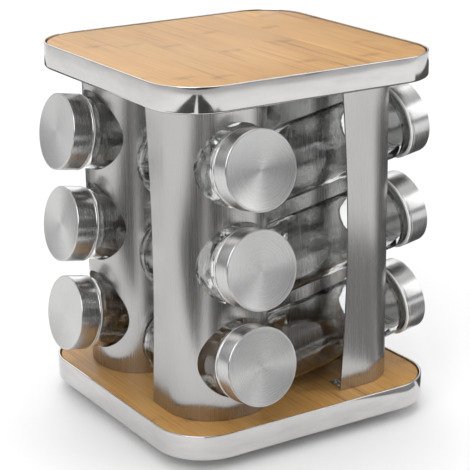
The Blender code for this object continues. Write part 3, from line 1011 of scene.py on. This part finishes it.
class CAROUSEL_OT_studio(Operator):
    """Pale floor, grey cards that gloss picks up, uneven soft sky, soft lights and the camera"""
    bl_idname = "carousel.studio"
    bl_label = "Studio"

    def execute(self, context):
        sizes = context.scene.carousel_studio
        self.floor()
        self.cards(sizes)
        self.sky(context.scene, sizes)
        self.lights(sizes)
        self.camera(context.scene, sizes)
        context.scene.view_settings.view_transform = "Standard"
        return {"FINISHED"}

    def sheet(self, name, colour, low, high, turn=0.0):
        """A thin level sheet of the stage, turned round Z."""
        piece = block(name, low, high)
        piece.data.transform(Matrix.Rotation(turn, 4, "Z"))
        material, _, shader = new_finish(name, colour, 0.0, 0.6)
        shader.inputs["Specular IOR Level"].default_value = 0.2
        set_finish(piece, material)
        return piece

    def floor(self):
        half = 20.0
        self.sheet("studio_floor", (0.93, 0.93, 0.93), (-half, -half, -1 * MM), (half, half, 0))

    def cards(self, sizes):
        """Grey cards that no camera, shadow or diffuse light sees and only gloss picks up."""
        low = 0.2 * MM
        high = 0.5 * MM
        cards = {
            "front_card": (sizes.front_card, (-0.02, -2.4, low), (0.30, -0.23, high)),
            "corner_card": (sizes.front_card, (-0.42, -2.4, low), (-0.09, -0.23, high)),
            "side_card": (sizes.side_card, (0.165, -0.60, low), (0.42, -0.01, high)),
            "right_card": (sizes.back_cards, (0.132, 0.0, low), (0.90, 1.0, high)),
            "left_card": (sizes.back_cards, (-0.62, 0.24, low), (-0.14, 1.0, high)),
        }
        for name, (grey, near, far) in cards.items():
            card = self.sheet(name, (grey, grey, grey), near, far, sizes.azimuth)
            card.visible_camera = False
            card.visible_diffuse = False
            card.visible_transmission = False
            card.visible_shadow = False

    def sky(self, scene, sizes):
        """Bright overhead, greyer at the horizon, uneven, and dark behind the camera."""
        world = bpy.data.worlds.new("studio")
        scene.world = world
        world.use_nodes = True
        tree = world.node_tree
        background = tree.nodes["Background"]
        where = add_node(tree, "ShaderNodeTexCoord").outputs["Generated"]
        axes = add_node(tree, "ShaderNodeSeparateXYZ", {"Vector": where})
        rise = spread(tree, axes.outputs["Z"], 0.0, 1.0, 0.0, 0.7)
        sky = tint(tree, rise, [(0.40, 0.40, 0.41), (0.80, 0.80, 0.80), (1.1, 1.1, 1.1)])
        towards = add_node(tree, "ShaderNodeVectorMath", {"Vector": where},
                           operation="DOT_PRODUCT")
        towards.inputs[1].default_value = (math.sin(sizes.azimuth), -math.cos(sizes.azimuth), 0.0)
        facing = spread(tree, towards.outputs["Value"], 0.0, 1.0, 0.55, 0.9)
        camera_side = tint(tree, facing, [(1.0, 1.0, 1.0), (0.16, 0.15, 0.15)])
        sky = blend_colour(tree, "MULTIPLY", 1.0, sky, camera_side)
        patches = noise(tree, where, 1.0, scale=1.8)
        patchy = tint(tree, spread(tree, patches), [(0.35, 0.35, 0.36), (1.0, 1.0, 1.0)])
        sky = blend_colour(tree, "MULTIPLY", 0.6, sky, patchy)
        tree.links.new(sky, background.inputs["Color"])
        background.inputs["Strength"].default_value = sizes.sky

    def lights(self, sizes):
        softboxes = {
            "key": ((-1.5, -1.1, 1.5), 1.6, 22.0),
            "fill": ((1.6, -1.3, 1.1), 1.4, 10.0),
            "over": ((0.2, 0.4, 2.2), 1.8, 16.0),
            "back": ((0.6, 2.0, 1.2), 1.6, 8.0),
        }
        for name, (place, size, power) in softboxes.items():
            data = bpy.data.lights.new(name, "AREA")
            data.shape = "SQUARE"
            data.size = size
            data.energy = power * sizes.lamps
            lamp = bpy.data.objects.new(name, data)
            bpy.context.scene.collection.objects.link(lamp)
            lamp.location = place
            aim = Vector((0, 0, LAMP_AIM)) - Vector(place)
            lamp.rotation_euler = aim.to_track_quat("-Z", "Y").to_euler()

    def camera(self, scene, sizes):
        data = bpy.data.cameras.new("view")
        data.lens = sizes.lens
        data.sensor_width = 36.0
        camera = bpy.data.objects.new("view", data)
        scene.collection.objects.link(camera)
        place = Vector((math.sin(sizes.azimuth) * sizes.distance,
                        -math.cos(sizes.azimuth) * sizes.distance, sizes.height))
        aim = Vector((0, 0, sizes.aim)) - place
        turn = aim.to_track_quat("-Z", "Y").to_matrix().to_4x4()
        camera.matrix_world = Matrix.Translation(place) @ turn @ Matrix.Rotation(sizes.roll, 4, "Z")
        scene.camera = camera


# ---------------------------------------------------------------- add-on parts

STEPS = (CAROUSEL_OT_trays, CAROUSEL_OT_boards, CAROUSEL_OT_columns, CAROUSEL_OT_screws,
         CAROUSEL_OT_turntable, CAROUSEL_OT_jars, CAROUSEL_OT_caps, CAROUSEL_OT_sifters,
         CAROUSEL_OT_studio)


class CAROUSEL_PT_panel(Panel):
    """Lists the pieces and their sizes"""
    bl_idname = "CAROUSEL_PT_panel"
    bl_label = "Spice Carousel"
    bl_space_type = "VIEW_3D"
    bl_region_type = "UI"
    bl_category = "Carousel"

    def draw(self, context):
        for name, kind in SETTINGS.items():
            box = self.layout.box()
            box.label(text=kind.__doc__)
            settings = getattr(context.scene, name)
            for field in kind.__annotations__:
                box.prop(settings, field)
        for step in STEPS:
            self.layout.operator(step.bl_idname)


SETTINGS = {"carousel_trays": TraySettings, "carousel_columns": ColumnSettings,
            "carousel_jars": JarSettings, "carousel_finishes": FinishSettings,
            "carousel_studio": StudioSettings}
CLASSES = (*SETTINGS.values(), *STEPS, CAROUSEL_PT_panel)


def register():
    for item in CLASSES:
        bpy.utils.register_class(item)
    for name, kind in SETTINGS.items():
        setattr(bpy.types.Scene, name, PointerProperty(type=kind))


def unregister():
    for name in SETTINGS:
        delattr(bpy.types.Scene, name)
    for item in reversed(CLASSES):
        bpy.utils.unregister_class(item)


def main():
    register()
    for step in STEPS:
        group, name = step.bl_idname.split(".")
        getattr(getattr(bpy.ops, group), name)()


if __name__ == "__main__":
    main()
